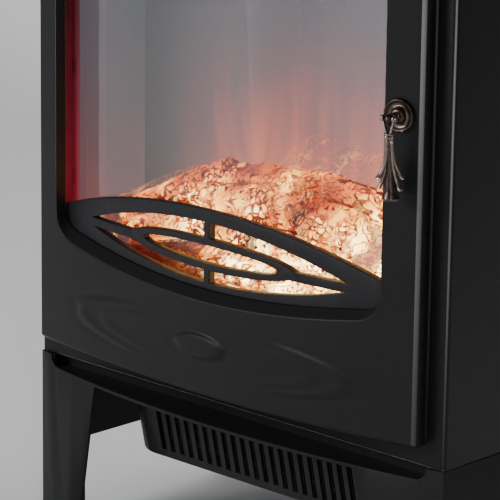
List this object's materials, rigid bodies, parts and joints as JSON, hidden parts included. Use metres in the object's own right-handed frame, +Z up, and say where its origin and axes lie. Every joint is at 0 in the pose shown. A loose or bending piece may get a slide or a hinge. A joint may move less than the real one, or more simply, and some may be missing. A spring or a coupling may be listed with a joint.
{
  "type": "electric fireplace",
  "caption": "Freestanding stove-shaped electric fireplace with a bowed glazed door, lit log set, flame screen, drop pull and a fan heater in its legged base.",
  "frame": {"origin": "on the floor, in the middle of the overall width and depth", "axes": "+X to the right as seen from the front, +Y to the back, +Z up; the door faces -Y"},
  "size_m": [0.415, 0.284, 0.567],
  "materials": {
    "charcoal_coat": "matt, finely textured powder coat",
    "black_rubber": "matt",
    "black_plastic": "fine-textured moulding",
    "galvanised_sheet": "zinc spangle",
    "motor_steel": "laminated steel and copper",
    "mica_board": "layered mica",
    "heating_wire": "drawn wire",
    "white_plastic": "moulded",
    "zinc_steel": "zinc plated",
    "liner_enamel": "satin black",
    "flame_screen": "frosted translucent acrylic",
    "ember_resin": "translucent cast resin",
    "log_resin": "cast resin with painted char",
    "circuit_board": "solder mask",
    "bright_reflector": "polished",
    "red_plastic": "polished moulding",
    "dark_steel": "satin black",
    "smoked_glass": "polished toughened glass",
    "cast_grille": "fine sand-cast, painted",
    "antique_bronze": "antiqued, rubbed bright on the edges"
  },
  "bodies": {
    "stove": {"base_shell": "charcoal_coat", "base_scoop": "charcoal_coat", "foot_pads": "black_rubber", "outlet_grille": "black_plastic", "outlet_grid": "black_plastic", "blower_housing": "galvanised_sheet", "blower_motor": "motor_steel", "heater_frame": "mica_board", "heater_coils": "heating_wire", "thermal_cutout": "white_plastic", "body_shell": "charcoal_coat", "body_floor": "galvanised_sheet", "floor_screws": "zinc_steel", "back_panel": "charcoal_coat", "back_screws": "zinc_steel", "wall_spacers": "black_rubber", "cable_gland": "black_plastic", "terminal_block": "white_plastic", "top_plate": "charcoal_coat", "firebox_liner": "liner_enamel", "flame_screen": "flame_screen", "ember_bed": "ember_resin", "log_set": "log_resin", "led_board": "circuit_board", "spindle_bush": "white_plastic", "flame_motor": "motor_steel", "control_panel": "black_plastic", "switch_housings": "black_plastic", "thermostat": "motor_steel", "hinge_casing_leaves": "charcoal_coat", "hinge_pins": "zinc_steel", "magnet_catch": "black_plastic"},
    "door": {"door_panel": "charcoal_coat", "glass_ring": "dark_steel", "door_glass": "smoked_glass", "window_grille": "cast_grille", "glass_clips": "zinc_steel", "hinge_door_leaves": "charcoal_coat", "strike_plate": "zinc_steel", "pull_rose": "antique_bronze", "pull_post": "antique_bronze", "pull_pin": "antique_bronze", "pull_screw": "zinc_steel"},
    "pull": {"pull_drop": "antique_bronze"},
    "blower": {"blower_wheel": "black_plastic"},
    "flame_rod": {"flame_spindle": "bright_reflector"},
    "power_switch": {"power_rocker": "red_plastic"},
    "heat_switch": {"heat_rocker": "black_plastic"},
    "knob": {"thermostat_knob": "black_plastic"}
  },
  "joints": [
    {"name": "door_hinge", "type": "hinge", "parent": "stove", "child": "door", "pos_m": [-0.1903, -0.102, 0.33], "axis": [0, 0, -1], "range_deg": [0, 110]},
    {"name": "pull_swing", "type": "hinge", "parent": "door", "child": "pull", "pos_m": [0.17183, -0.13004, 0.3844], "axis": [-0.9835, -0.1808, 0], "range_deg": [-4, 95]},
    {"name": "blower_spin", "type": "hinge", "parent": "stove", "child": "blower", "pos_m": [0, 0.006, 0.1055], "axis": [1, 0, 0], "continuous": true},
    {"name": "flame_rod_spin", "type": "hinge", "parent": "stove", "child": "flame_rod", "pos_m": [0, -0.008, 0.241], "axis": [1, 0, 0], "continuous": true},
    {"name": "power_rock", "type": "hinge", "parent": "stove", "child": "power_switch", "pos_m": [-0.069, -0.1, 0.183], "axis": [-1, 0, 0], "range_deg": [0, 16]},
    {"name": "heat_rock", "type": "hinge", "parent": "stove", "child": "heat_switch", "pos_m": [-0.033, -0.1, 0.183], "axis": [-1, 0, 0], "range_deg": [0, 16]},
    {"name": "thermostat_turn", "type": "hinge", "parent": "stove", "child": "knob", "pos_m": [0.068, -0.108, 0.183], "axis": [0, -1, 0], "range_deg": [-270, 0]}
  ]
}
